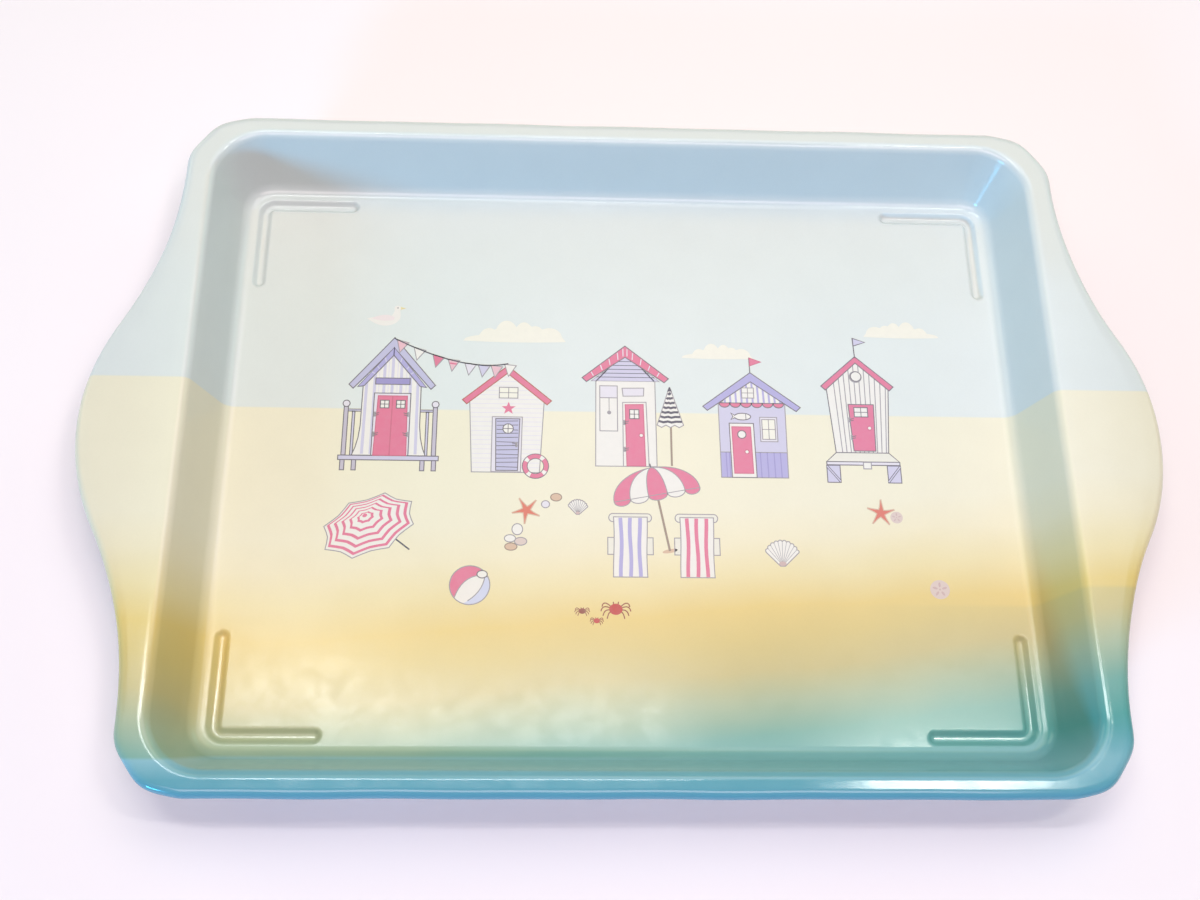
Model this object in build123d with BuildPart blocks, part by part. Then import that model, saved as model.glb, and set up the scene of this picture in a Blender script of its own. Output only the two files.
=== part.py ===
"""Small pressed tinplate serving tray with two wide grips and a printed seaside picture.

Millimetres. +X along the tray's length, +Y away from the user, +Z up.
The origin is on the table under the middle of the tray, and the four feet stand on z = 0.
The tray is one sheet of tinplate: floor, sloping walls, flat rim with two wide grips, an edge
rolled outwards and under, and four L-shaped beads pressed down out of the floor as feet.
The picture on the floor is a set of thin ink films, with one node for each motif.
"""

from collections import namedtuple
from math import atan, cos, degrees, radians, sin, tan
import os

from build123d import *

# --- the sheet and the overall size ----------------------------------------------------------
SHEET = 0.3
LENGTH = 210.0
WIDTH = 140.0
FOOT_DEPTH = 1.0
PAN_DEPTH = 14.0

# --- the pan, measured to the sharp corners between its floor and its walls -------------------
FLOOR_LENGTH = 161.0
FLOOR_WIDTH = 121.5
FLOOR_CORNER = 6.0
WALL_RUN = 4.5
FLOOR_BEND = 3.0
MOUTH_BEND = 2.0

# --- the plan outline: straight sides, round shoulders, hollow necks, round grips --------------
SHOULDER_R = 13.0
SHOULDER_X = 77.6
GRIP_R = 45.0
CURL_R = 1.5
CURL_SWEEP = 270.0

# --- the L-shaped feet -------------------------------------------------------------------------
FOOT_X = 76.6
FOOT_Y = 56.8
FOOT_LEG = 18.5
FOOT_WIDTH = 2.6
FOOT_SLOPE = radians(38.0)
FOOT_CORNER = 2.0
FOOT_BEND = 0.4
FOOT_LIP = 0.5

# --- the printed picture -----------------------------------------------------------------------
INK = 0.05
PEN = 0.4
Hut = namedtuple("Hut", "x ground foot head wall span eaves top roof")
PORCH = Hut(-47.4, -0.9, 15.0, 12.4, 15.2, 17.6, 15.6, 26.4, 2.4)
CREAM = Hut(-23.9, -4.2, 13.6, 15.2, 15.7, 18.2, 15.8, 23.6, 1.7)
TILED = Hut(0.4, -2.6, 12.4, 12.2, 18.8, 17.9, 19.6, 27.0, 2.6)
LILAC = Hut(26.4, -4.7, 13.6, 13.8, 16.1, 20.2, 15.6, 23.4, 2.1)
RAISED = Hut(48.7, 1.0, 10.8, 13.0, 14.5, 15.2, 14.6, 21.8, 1.8)
EAVE_CUT = 0.9
PORCH_DECK = (20.4, 1.0)
PORCH_LEG = (0.9, 2.2)
PORCH_LEG_X = (6.8, 9.1)
PORCH_POST = (0.9, 10.8)
PORCH_POST_X = 9.2
PORCH_RAIL_Y = 9.6
PORCH_BALUSTER_X = 8.0
FINIAL_R = 0.7
FINIAL_UP = 0.6
RAISED_DECK_DROP = 2.0
RAISED_DECK_WIDTH = 15.2
RAISED_DECK_EDGE = 0.9
RAISED_LEG = (2.8, 3.6)
FLAG = (2.4, 1.9)
LILAC_POLE = 3.5
RAISED_POLE = 4.4
CLOUDS = ((-22.6, 26.4, 21.5), (19.7, 22.8, 15.2), (59.0, 28.5, 16.3))
CLOUD_BASE = 0.12
CLOUD_PUFFS = ((-0.1, 0.07, 0.17, 0.1), (0.13, 0.06, 0.2, 0.1))
GULL = (-49.6, 29.8)
GULL_BODY = (3.2, 1.45)
GULL_TAIL = ((-1.6, 0.9), (-3.9, 0.3), (-2.0, -0.9))
GULL_NECK = ((1.2, 0.6), (3.1, 0.3), (3.0, 2.6), (1.8, 2.6))
GULL_HEAD = (2.4, 2.6, 0.75)
GULL_BEAK = ((3.0, 3.0), (4.4, 2.6), (3.0, 2.2))
BUNTING_SAG = 2.3
PENNANTS = 8
FIRST_PENNANT = 0.8
PENNANT = (2.4, 2.7)
LIFE_RING = (-17.9, -2.8)
LIFE_RING_R = (2.7, 1.65)
CLOSED_PARASOL = (9.5, 6.4)
CLOSED_CANOPY = (5.4, 8.2)
CLOSED_POLE = 8.8
OPEN_PARASOL = (6.8, -8.7)
OPEN_CANOPY = (8.8, 5.9)
OPEN_POLE = 12.0
OPEN_TILT = 11.0
SCALLOPS = 5
SCALLOP_DROP = 1.2
MOUND = (1.4, 0.35)
TILTED_PARASOL = (-50.4, -15.7)
TILTED_TOP = (-51.3, -13.6)
TILTED_CANOPY = (9.9, 6.2)
TILTED_TURN = 25.0
TILTED_POLE = 11.8
TILTED_POLE_TURN = 52.6
PANELS = 8
FIRST_RIB = 11.0
DECKCHAIRS = (1.0, 14.2)
DECKCHAIR_FOOT = -25.8
CANVAS = (6.6, 12.4)
TOP_BAR = (8.6, 1.7)
ARM = (1.2, 3.5)
ARM_Y = 6.2
BEACH_BALL = (-30.3, -27.7)
BALL_R = 3.9
STARFISH = ((-19.6, -12.2, 25.0), (51.4, -12.0, -8.0))
STARFISH_R = (2.9, 1.0)
STAR_ARMS = 5
SHELLS = ((-9.4, -11.9, 2.1), (31.0, -21.5, 3.7))
SHELL_FAN = 150.0
SHELL_HINGE = (0.16, 0.55)
PEBBLES = (
    (-15.8, -10.9, 0.8, 0.8),
    (-13.7, -9.4, 1.1, 0.8),
    (-21.3, -16.2, 1.0, 1.1),
    (-22.7, -18.1, 1.1, 0.75),
    (-22.5, -19.8, 1.2, 0.75),
    (-20.1, -18.7, 1.2, 0.8),
)
SAND_DOLLARS = ((54.5, -12.9, 1.3), (61.8, -27.8, 2.0))
CRAB_BODY = (1.3, 0.95)
CRAB_LEG = (0.6, 2.7)
CRAB_LEG_ANGLES = (60, 85, 110, 135)
CRABS = ((-2.0, -32.3, 1.0), (-8.5, -32.7, 0.5), (-5.7, -34.6, 0.45))

# --- worked out from the above -----------------------------------------------------------------
FLOOR_TOP = FOOT_DEPTH + SHEET
RIM_TOP = FLOOR_TOP + PAN_DEPTH
WALL_SLOPE = atan(WALL_RUN / PAN_DEPTH)
WALL_GROWTH = SHEET / cos(WALL_SLOPE) - SHEET * tan(WALL_SLOPE)
FOOT_GROWTH = SHEET / cos(FOOT_SLOPE) - SHEET * tan(FOOT_SLOPE)
SHOULDER_Y = WIDTH / 2 - SHOULDER_R
NECK_START_X = SHOULDER_X + SHOULDER_R
GRIP_X = LENGTH / 2 - GRIP_R
NECK_GAP = NECK_START_X - GRIP_X
NECK_R = (NECK_GAP**2 + SHOULDER_Y**2 - GRIP_R**2) / (2 * (GRIP_R - NECK_GAP))
NECK_X = NECK_START_X + NECK_R
NECK_ANGLE = degrees(atan(SHOULDER_Y / (NECK_X - GRIP_X)))
TOOL_MARGIN = 5.0

os.makedirs("parts", exist_ok=True)


def finish(piece, name):
    """Labels a finished piece and writes its STEP file."""
    piece.part.label = name
    export_step(piece.part, f"parts/{name}.step")


# --- tray pressing -------------------------------------------------------------------------------


def outline(inset):
    """The tray's closed plan outline, drawn inset from its overall edge."""
    with BuildLine() as line:
        Line((0, WIDTH / 2 - inset), (SHOULDER_X, WIDTH / 2 - inset))
        CenterArc((SHOULDER_X, SHOULDER_Y), SHOULDER_R - inset, 0, 90)
        CenterArc((NECK_X, SHOULDER_Y), NECK_R + inset, 180, NECK_ANGLE)
        CenterArc((GRIP_X, 0), GRIP_R - inset, 0, NECK_ANGLE)
        mirror(about=Plane.XZ)
        mirror(about=Plane.YZ)
    return line.wire()


def pan_hollow(floor_z, growth, bend):
    """The space inside the pan, its floor grown sideways by growth, with a bend round it."""
    size = (FLOOR_LENGTH + 2 * growth, FLOOR_WIDTH + 2 * growth)
    with BuildPart() as hollow:
        with BuildSketch(Plane.XY.offset(floor_z)):
            RectangleRounded(*size, FLOOR_CORNER + growth)
        extrude(amount=PAN_DEPTH + TOOL_MARGIN, taper=-degrees(WALL_SLOPE))
        fillet(hollow.faces().sort_by(Axis.Z)[0].edges(), bend)
    return hollow.part


def foot_grooves(top_z, width, bend):
    """The four L-shaped grooves of the feet, with sloping sides, hanging down from top_z."""
    with BuildPart() as grooves:
        with BuildSketch(Plane.XY.offset(top_z)):
            with BuildLine():
                FilletPolyline(
                    (FOOT_X - FOOT_LEG, FOOT_Y),
                    (FOOT_X, FOOT_Y),
                    (FOOT_X, FOOT_Y - FOOT_LEG),
                    radius=FOOT_CORNER,
                )
                offset(amount=width / 2)
            make_face()
            mirror(about=Plane.XZ)
            mirror(about=Plane.YZ)
        extrude(amount=-FOOT_DEPTH, taper=degrees(FOOT_SLOPE))
        fillet(grooves.faces().group_by(Axis.Z)[0].edges(), bend)
    return grooves.part


def under_surface(drop, wall_growth, foot_growth):
    """Everything under the sheet's upper face, or under its lower face where drop is the sheet."""
    floor_z = FLOOR_TOP - drop
    with BuildPart() as body:
        with BuildSketch(Plane.XY.offset(-TOOL_MARGIN)):
            make_face(outline(CURL_R))
        extrude(amount=RIM_TOP - drop + TOOL_MARGIN)
        add(pan_hollow(floor_z, wall_growth, FLOOR_BEND + drop), mode=Mode.SUBTRACT)
        flat_faces = body.faces().filter_by(GeomType.PLANE).filter_by(Axis.Z).sort_by(Axis.Z)
        fillet(flat_faces[-1].inner_wires().edges(), MOUTH_BEND - drop)
        grooves = foot_grooves(floor_z, FOOT_WIDTH + 2 * foot_growth, FOOT_BEND + drop)
        add(grooves, mode=Mode.SUBTRACT)
        floor_face = body.faces().filter_by(GeomType.PLANE).filter_by(Axis.Z).sort_by(Axis.Z)[-2]
        fillet(floor_face.inner_wires().edges(), FOOT_LIP - drop)
    return body.part


def curled_edge():
    """The hollow roll round the whole edge: the rim turned outwards, down and back under."""
    path = Plane.XY.offset(RIM_TOP - CURL_R) * outline(CURL_R)
    start = Vector(0, CURL_R - WIDTH / 2, RIM_TOP - CURL_R)
    with BuildPart() as curl:
        with BuildSketch(Plane(start, x_dir=(0, -1, 0), z_dir=(1, 0, 0))):
            with BuildLine():
                outer = CenterArc((0, 0), CURL_R, -180, CURL_SWEEP)
                inner = CenterArc((0, 0), CURL_R - SHEET, -180, CURL_SWEEP)
                Line(outer @ 0, inner @ 0)
                Line(outer @ 1, inner @ 1)
            make_face()
        sweep(path=path)
    return curl.part


with BuildPart() as tray_pressing:
    add(under_surface(0, 0, 0))
    add(under_surface(SHEET, WALL_GROWTH, FOOT_GROWTH), mode=Mode.SUBTRACT)
    add(curled_edge())
finish(tray_pressing, "tray_pressing")

# --- helpers for the printed films ---------------------------------------------------------------


def ink_plane(x, y, turn=0.0):
    """The plane on the tray's floor where a motif is drawn, with its own origin and turn."""
    return Plane((x, y, FLOOR_TOP)).rotated((0, 0, turn))


def box_on(x, y, width, height):
    """A rectangle standing on (x, y), which is the middle of its lower side."""
    with Locations((x, y + height / 2)):
        Rectangle(width, height)


def hut_front(hut):
    """The silhouette of a hut's front: a wall that tapers, a gable and two roof slopes."""
    foot, head, span = hut.foot / 2, hut.head / 2, hut.span / 2
    Polygon(
        (-foot, 0),
        (foot, 0),
        (head, hut.wall),
        (0, hut.top - hut.roof / 2),
        (-head, hut.wall),
        align=None,
    )
    Polygon(
        (-span, hut.eaves),
        (0, hut.top),
        (span, hut.eaves),
        (span - EAVE_CUT, hut.eaves - EAVE_CUT),
        (0, hut.top - hut.roof),
        (EAVE_CUT - span, hut.eaves - EAVE_CUT),
        align=None,
    )


def flag(top, pole):
    """A flagpole and its pennant, standing on a roof's peak."""
    length, drop = FLAG
    box_on(0, top - PEN, PEN, pole + PEN)
    tip = top + pole
    Polygon((0, tip), (length, tip - drop / 2), (0, tip - drop), align=None)


# --- bunting between the first two huts ------------------------------------------------------------

bunting_start = Vector(PORCH.x, PORCH.ground + PORCH.top - PEN)
bunting_end = Vector(CREAM.x, CREAM.ground + CREAM.top - PEN)
with BuildPart() as print_bunting:
    with BuildSketch(ink_plane(0, 0)):
        with BuildLine():
            string = SagittaArc(bunting_start, bunting_end, BUNTING_SAG)
            offset(amount=PEN / 2)
        make_face()
        for i in range(PENNANTS):
            hang = string @ ((i + FIRST_PENNANT) / (PENNANTS + FIRST_PENNANT / 2))
            half, drop = PENNANT[0] / 2, PENNANT[1]
            with Locations((hang.X, hang.Y)):
                Polygon((-half, 0), (half, 0), (0, -drop), align=None)
    extrude(amount=INK)
finish(print_bunting, "print_bunting")

# --- life ring against the second hut ----------------------------------------------------------------

with BuildPart() as print_life_ring:
    with BuildSketch(ink_plane(*LIFE_RING)):
        Circle(LIFE_RING_R[0])
        Circle(LIFE_RING_R[1], mode=Mode.SUBTRACT)
    extrude(amount=INK)
finish(print_life_ring, "print_life_ring")

# --- the five beach huts --------------------------------------------------------------------------

with BuildPart() as print_hut_porch:
    with BuildSketch(ink_plane(PORCH.x, PORCH.ground)):
        hut_front(PORCH)
        deck_width, deck_height = PORCH_DECK
        box_on(0, -deck_height, deck_width, deck_height)
        for side in (-1, 1):
            for x in PORCH_LEG_X:
                box_on(side * x, -deck_height - PORCH_LEG[1], *PORCH_LEG)
            box_on(side * PORCH_POST_X, 0, *PORCH_POST)
            box_on(side * PORCH_BALUSTER_X, 0, PEN, PORCH_RAIL_Y)
            rail = PORCH_POST_X - PORCH.head / 2
            box_on(side * (PORCH_POST_X - rail / 2), PORCH_RAIL_Y, rail, PEN)
            with Locations((side * PORCH_POST_X, PORCH_POST[1] + FINIAL_UP)):
                Circle(FINIAL_R)
    extrude(amount=INK)
    add(print_bunting.part, mode=Mode.SUBTRACT)
finish(print_hut_porch, "print_hut_porch")

with BuildPart() as print_hut_cream:
    with BuildSketch(ink_plane(CREAM.x, CREAM.ground)):
        hut_front(CREAM)
    extrude(amount=INK)
    add(print_bunting.part, mode=Mode.SUBTRACT)
    add(print_life_ring.part, mode=Mode.SUBTRACT)
finish(print_hut_cream, "print_hut_cream")

with BuildPart() as print_hut_tiled:
    with BuildSketch(ink_plane(TILED.x, TILED.ground)):
        hut_front(TILED)
    extrude(amount=INK)
finish(print_hut_tiled, "print_hut_tiled")

with BuildPart() as print_hut_lilac:
    with BuildSketch(ink_plane(LILAC.x, LILAC.ground)):
        hut_front(LILAC)
        flag(LILAC.top, LILAC_POLE)
    extrude(amount=INK)
finish(print_hut_lilac, "print_hut_lilac")

with BuildPart() as print_hut_raised:
    with BuildSketch(ink_plane(RAISED.x, RAISED.ground)):
        hut_front(RAISED)
        flag(RAISED.top, RAISED_POLE)
        step = RAISED_DECK_WIDTH / 2
        Polygon(
            (-RAISED.foot / 2, 0),
            (-step, -RAISED_DECK_DROP),
            (step, -RAISED_DECK_DROP),
            (RAISED.foot / 2, 0),
            align=None,
        )
        edge_y = -RAISED_DECK_DROP - RAISED_DECK_EDGE
        box_on(0, edge_y, RAISED_DECK_WIDTH, RAISED_DECK_EDGE)
        for side in (-1, 1):
            box_on(side * (step - RAISED_LEG[0] / 2), edge_y - RAISED_LEG[1], *RAISED_LEG)
    extrude(amount=INK)
finish(print_hut_raised, "print_hut_raised")

# --- sky: clouds and a gull -----------------------------------------------------------------------

with BuildPart() as print_clouds:
    for x, y, width in CLOUDS:
        with BuildSketch(ink_plane(x, y)):
            SlotOverall(width, CLOUD_BASE * width)
            for along, up, rx, ry in CLOUD_PUFFS:
                with Locations((along * width, up * width)):
                    Ellipse(rx * width, ry * width)
        extrude(amount=INK)
finish(print_clouds, "print_clouds")

with BuildPart() as print_gull:
    with BuildSketch(ink_plane(*GULL)):
        Ellipse(*GULL_BODY)
        Polygon(*GULL_TAIL, align=None)
        Polygon(*GULL_NECK, align=None)
        head_x, head_y, head_r = GULL_HEAD
        with Locations((head_x, head_y)):
            Circle(head_r)
        Polygon(*GULL_BEAK, align=None)
    extrude(amount=INK)
finish(print_gull, "print_gull")

# --- parasols -------------------------------------------------------------------------------------

with BuildPart() as print_parasol_closed:
    with BuildSketch(ink_plane(*CLOSED_PARASOL)):
        half, height = CLOSED_CANOPY[0] / 2, CLOSED_CANOPY[1]
        Polygon((-half, 0), (half, 0), (PEN / 2, height), (-PEN / 2, height), align=None)
        box_on(0, -CLOSED_POLE, PEN, CLOSED_POLE)
    extrude(amount=INK)
finish(print_parasol_closed, "print_parasol_closed")

with BuildPart() as print_parasol_open:
    with BuildSketch(ink_plane(*OPEN_PARASOL, OPEN_TILT)):
        half, height = OPEN_CANOPY
        Ellipse(half, height)
        with Locations((0, -height / 2)):
            Rectangle(2 * half, height, mode=Mode.SUBTRACT)
        with GridLocations(2 * half / SCALLOPS, 0, SCALLOPS, 1):
            Ellipse(half / SCALLOPS, SCALLOP_DROP)
        box_on(0, -OPEN_POLE, PEN, OPEN_POLE)
        with Locations((0, -OPEN_POLE)):
            Ellipse(*MOUND)
    extrude(amount=INK)
finish(print_parasol_open, "print_parasol_open")

with BuildPart() as print_parasol_tilted:
    with BuildSketch(ink_plane(*TILTED_PARASOL, TILTED_TURN)):
        corners = [radians(FIRST_RIB + 360 / PANELS * i) for i in range(PANELS)]
        canopy = [(TILTED_CANOPY[0] * cos(a), TILTED_CANOPY[1] * sin(a)) for a in corners]
        Polygon(*canopy, align=None)
    with BuildSketch(ink_plane(*TILTED_TOP, TILTED_POLE_TURN)):
        box_on(0, -TILTED_POLE, PEN, TILTED_POLE)
    extrude(amount=INK)
finish(print_parasol_tilted, "print_parasol_tilted")

# --- deckchairs and beach ball --------------------------------------------------------------------


def deckchair(x, name):
    """One deckchair seen from the front: canvas, top bar and two arms."""
    with BuildPart() as chair:
        with BuildSketch(ink_plane(x, DECKCHAIR_FOOT)):
            box_on(0, 0, *CANVAS)
            box_on(0, CANVAS[1] - TOP_BAR[1] / 2, *TOP_BAR)
            for side in (-1, 1):
                box_on(side * (CANVAS[0] + ARM[0]) / 2, ARM_Y, *ARM)
        extrude(amount=INK)
    finish(chair, name)


deckchair(DECKCHAIRS[0], "print_deckchair_blue")
deckchair(DECKCHAIRS[1], "print_deckchair_pink")

with BuildPart() as print_beach_ball:
    with BuildSketch(ink_plane(*BEACH_BALL)):
        Circle(BALL_R)
    extrude(amount=INK)
finish(print_beach_ball, "print_beach_ball")

# --- small things on the sand ---------------------------------------------------------------------

with BuildPart() as print_starfish:
    for x, y, turn in STARFISH:
        with BuildSketch(ink_plane(x, y, turn)):
            tips = [radians(180 / STAR_ARMS * i) for i in range(2 * STAR_ARMS)]
            radii = [STARFISH_R[i % 2] for i in range(2 * STAR_ARMS)]
            Polygon(*[(r * sin(a), r * cos(a)) for r, a in zip(radii, tips)], align=None)
        extrude(amount=INK)
finish(print_starfish, "print_starfish")

with BuildPart() as print_shells:
    for x, y, radius in SHELLS:
        with BuildSketch(ink_plane(x, y)):
            with BuildLine():
                fan = CenterArc((0, 0), radius, 90 - SHELL_FAN / 2, SHELL_FAN)
                reach, drop = radius * SHELL_HINGE[0], radius * SHELL_HINGE[1]
                Line(fan @ 0, (reach, -drop))
                Line((reach, -drop), (-reach, -drop))
                Line((-reach, -drop), fan @ 1)
            make_face()
        extrude(amount=INK)
finish(print_shells, "print_shells")

with BuildPart() as print_pebbles:
    for x, y, rx, ry in PEBBLES:
        with BuildSketch(ink_plane(x, y)):
            Ellipse(rx, ry)
        extrude(amount=INK)
finish(print_pebbles, "print_pebbles")

with BuildPart() as print_sand_dollars:
    for x, y, radius in SAND_DOLLARS:
        with BuildSketch(ink_plane(x, y)):
            Circle(radius)
        extrude(amount=INK)
finish(print_sand_dollars, "print_sand_dollars")

with BuildPart() as print_crabs:
    for x, y, size in CRABS:
        with BuildSketch(ink_plane(x, y)):
            Ellipse(CRAB_BODY[0] * size, CRAB_BODY[1] * size)
            half, reach = CRAB_LEG[0] / 2 * size, CRAB_LEG[1] * size
            for side in (-1, 1):
                for angle in CRAB_LEG_ANGLES:
                    with Locations(Location((0, 0, 0), (0, 0, 90 - side * angle))):
                        Polygon((0, -half), (reach, 0), (0, half), align=None)
        extrude(amount=INK)
finish(print_crabs, "print_crabs")
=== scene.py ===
"""Looks of the small printed tinplate tray: sheet metal, printed picture, varnish, light, camera."""

from collections import namedtuple
from math import atan, cos, pi, radians, sin, tan

import bpy
import numpy as np
from mathutils import Matrix, Vector


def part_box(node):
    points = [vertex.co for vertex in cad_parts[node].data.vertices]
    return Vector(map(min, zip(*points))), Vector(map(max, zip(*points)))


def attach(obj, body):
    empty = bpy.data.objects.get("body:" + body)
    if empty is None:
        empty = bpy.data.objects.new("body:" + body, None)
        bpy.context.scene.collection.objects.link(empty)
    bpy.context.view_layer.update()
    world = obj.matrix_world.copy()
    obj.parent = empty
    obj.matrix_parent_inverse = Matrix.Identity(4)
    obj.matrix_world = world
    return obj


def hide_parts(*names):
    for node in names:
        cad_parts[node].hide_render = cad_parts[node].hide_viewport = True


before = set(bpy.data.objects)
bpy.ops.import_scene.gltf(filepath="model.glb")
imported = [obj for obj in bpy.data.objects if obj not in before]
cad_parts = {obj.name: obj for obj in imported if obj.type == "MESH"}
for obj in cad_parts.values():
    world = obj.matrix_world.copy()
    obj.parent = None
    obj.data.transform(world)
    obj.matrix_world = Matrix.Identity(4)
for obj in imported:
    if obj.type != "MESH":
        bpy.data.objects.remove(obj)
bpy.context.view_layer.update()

MM = 0.001


def box_mm(node):
    """A CAD node's lowest and highest corners, in mm."""
    return [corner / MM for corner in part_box(node)]


def new_object(name, data):
    """An object for the data, in the scene."""
    made = bpy.data.objects.new(name, data)
    bpy.context.scene.collection.objects.link(made)
    return made


# --- the pressing's shape, in mm, as the CAD model has it ---
tray_low, tray_high = box_mm("tray_pressing")
LENGTH = round(tray_high.x - tray_low.x)
WIDTH = round(tray_high.y - tray_low.y)
RIM_TOP = tray_high.z
PAN_DEPTH = 14.0
FLOOR_TOP = RIM_TOP - PAN_DEPTH
SHEET = 0.3
FLOOR_HALF = (80.5, 60.75)
FLOOR_CORNER = 6.0
WALL_SLOPE = atan(4.5 / PAN_DEPTH)
FLOOR_BEND = 3.0
MOUTH_BEND = 2.0
SHOULDER = (77.6, 57.0)
SHOULDER_R = WIDTH / 2 - SHOULDER[1]
GRIP_R = 45.0
GRIP_X = LENGTH / 2 - GRIP_R
NECK_GAP = SHOULDER[0] + SHOULDER_R - GRIP_X
NECK_R = (NECK_GAP**2 + SHOULDER[1] ** 2 - GRIP_R**2) / (2 * (GRIP_R - NECK_GAP))
NECK_X = SHOULDER[0] + SHOULDER_R + NECK_R
CURL_R = 1.5
# The pressed rim isn't perfect: soft flats round each shoulder, and a slow ripple along it.
FACET_AT = radians(57)
FACET_RISE = 0.2
FLATS = 8
RIPPLE = 0.09
RIPPLE_X, RIPPLE_Y, RIPPLE_SKEW = 0.21, 0.17, 0.05
FOOT = (76.6, 56.8)
FOOT_LEG = 18.5
FOOT_CORNER = 2.0
FOOT_DEPTH = 1.0
FOOT_HALF = (0.32, 1.56)
TURN = pi / 2 - WALL_SLOPE
SHARP = radians(60)


def foot_drop(x, y):
    """How far the floor is pressed down at a point by the nearest L-shaped foot."""
    x, y = abs(x), abs(y)
    cx, cy = FOOT[0] - FOOT_CORNER, FOOT[1] - FOOT_CORNER
    along_x = np.hypot(min(max(x, FOOT[0] - FOOT_LEG), cx) - x, FOOT[1] - y)
    along_y = np.hypot(FOOT[0] - x, min(max(y, FOOT[1] - FOOT_LEG), cy) - y)
    gap = min(along_x, along_y)
    if x > cx and y > cy:
        gap = min(gap, abs(np.hypot(x - cx, y - cy) - FOOT_CORNER))
    t = min(max((gap - FOOT_HALF[0]) / (FOOT_HALF[1] - FOOT_HALF[0]), 0.0), 1.0)
    return FOOT_DEPTH * (1 - t * t * (3 - 2 * t))


def spread(start, stop, step):
    """Even steps from start up to, but not including, stop."""
    count = max(1, round(abs(stop - start) / step))
    return [start + (stop - start) * i / count for i in range(count)]


def quarter_stations():
    """Matched (floor point, floor normal, rim point, rim normal) from mid far side to grip tip."""
    found = []
    straight_x, straight_y = FLOOR_HALF[0] - FLOOR_CORNER, FLOOR_HALF[1] - FLOOR_CORNER
    near, fine = 1.8, 0.24  # close stations on both sides of a foot's end
    end_x = FOOT[0] - FOOT_LEG
    xs = spread(0, end_x - near, 2.4) + spread(end_x - near, end_x + near, fine)
    for x in xs + spread(end_x + near, straight_x, 1.4):
        rim_x = x * SHOULDER[0] / straight_x
        found.append((x, FLOOR_HALF[1], 0, 1, rim_x, WIDTH / 2 - CURL_R, 0, 1))
    for a in spread(pi / 2, 0, radians(3.0)):
        c, s = cos(a), sin(a)
        facet = cos(FLATS * (a - FACET_AT)) * sin(2 * a) ** 0.5
        rim_r = SHOULDER_R - CURL_R + FACET_RISE * facet
        found.append((straight_x + FLOOR_CORNER * c, straight_y + FLOOR_CORNER * s, c, s,
                      SHOULDER[0] + rim_r * c, SHOULDER[1] + rim_r * s, c, s))
    end_y = FOOT[1] - FOOT_LEG
    ys = spread(straight_y, end_y + near, 1.4) + spread(end_y + near, end_y - near, fine)
    for y in ys + spread(end_y - near, 0, 2.0) + [0.0]:
        rim_y = y * SHOULDER[1] / straight_y
        r_neck, r_grip = NECK_R + CURL_R, GRIP_R - CURL_R
        reach = SHOULDER[1] - rim_y
        if reach < r_neck * SHOULDER[1] / (NECK_R + GRIP_R):
            across = np.sqrt(r_neck**2 - reach**2)
            rim = (NECK_X - across, rim_y, across / r_neck, reach / r_neck)
        else:
            across = np.sqrt(r_grip**2 - rim_y**2)
            rim = (GRIP_X + across, rim_y, across / r_grip, rim_y / r_grip)
        found.append((FLOOR_HALF[0], y, 1, 0, *rim))
    return found


def ring_of_stations():
    """The stations all the way round the tray, clockwise from the middle of the far side."""
    quarter = np.array(quarter_stations())
    flip_y = np.array([1, -1] * 4)
    back = quarter[::-1]
    parts = [quarter, (back * flip_y)[1:], (quarter * -1)[1:], (back * -flip_y)[1:-1]]
    return np.concatenate(parts)


ring = ring_of_stations()
floor_at, floor_out, rim_at, rim_out = ring[:, 0:2], ring[:, 2:4], ring[:, 4:6], ring[:, 6:8]
COUNT = len(ring)
skewed = rim_at[:, 1] * RIPPLE_Y + rim_at[:, 0] * RIPPLE_SKEW
ripple = np.sin(rim_at[:, 0] * RIPPLE_X + 1.0) * np.sin(skewed)
rim_at = rim_at - rim_out * (RIPPLE * (1 + ripple))[:, None]


def loop_at(d, z):
    """A loop round the pan, d outside the corner of floor and wall, z above the floor."""
    return np.column_stack([floor_at + floor_out * d, np.full(COUNT, z)])


def upper_loops():
    """Every loop of the sheet's printed face, from the middle of the floor to the curl's free edge."""
    tangent = FLOOR_BEND * tan(TURN / 2)
    mouth_tangent = MOUTH_BEND * tan(TURN / 2)
    wall_run = PAN_DEPTH * tan(WALL_SLOPE)
    groove_zone, groove_step = 3.6, 0.18
    inner = loop_at(-tangent - groove_zone, 0)
    loops = [inner * [k, k, 1] for k in (0.04, 0.2, 0.4, 0.6, 0.8, 0.94)]
    for inset in np.arange(groove_zone, -0.01, -groove_step):
        loop = loop_at(-tangent - inset, 0)
        loop[:, 2] = [-foot_drop(x, y) for x, y in loop[:, :2]]
        loops.append(loop)
    for a in np.linspace(0, TURN, 9)[1:]:
        loops.append(loop_at(FLOOR_BEND * sin(a) - tangent, FLOOR_BEND * (1 - cos(a))))
    low = (tangent * sin(WALL_SLOPE), tangent * cos(WALL_SLOPE))
    high = (wall_run - mouth_tangent * sin(WALL_SLOPE), PAN_DEPTH - mouth_tangent * cos(WALL_SLOPE))
    for t in (0.25, 0.5, 0.75):
        loops.append(loop_at(low[0] + (high[0] - low[0]) * t, low[1] + (high[1] - low[1]) * t))
    for a in np.linspace(TURN, 0, 9):
        d = wall_run + mouth_tangent - MOUTH_BEND * sin(a)
        loops.append(loop_at(d, PAN_DEPTH - MOUTH_BEND * (1 - cos(a))))
    mouth = loops[-1]
    edge = np.column_stack([rim_at, np.full(COUNT, PAN_DEPTH)])
    for t in (0.12, 0.35, 0.6, 0.85):
        loops.append(mouth + (edge - mouth) * t)
    for a in np.linspace(pi / 2, -pi, 22):
        z = np.full(COUNT, PAN_DEPTH - CURL_R + CURL_R * sin(a))
        loops.append(np.column_stack([rim_at + rim_out * CURL_R * cos(a), z]))
    return loops


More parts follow.
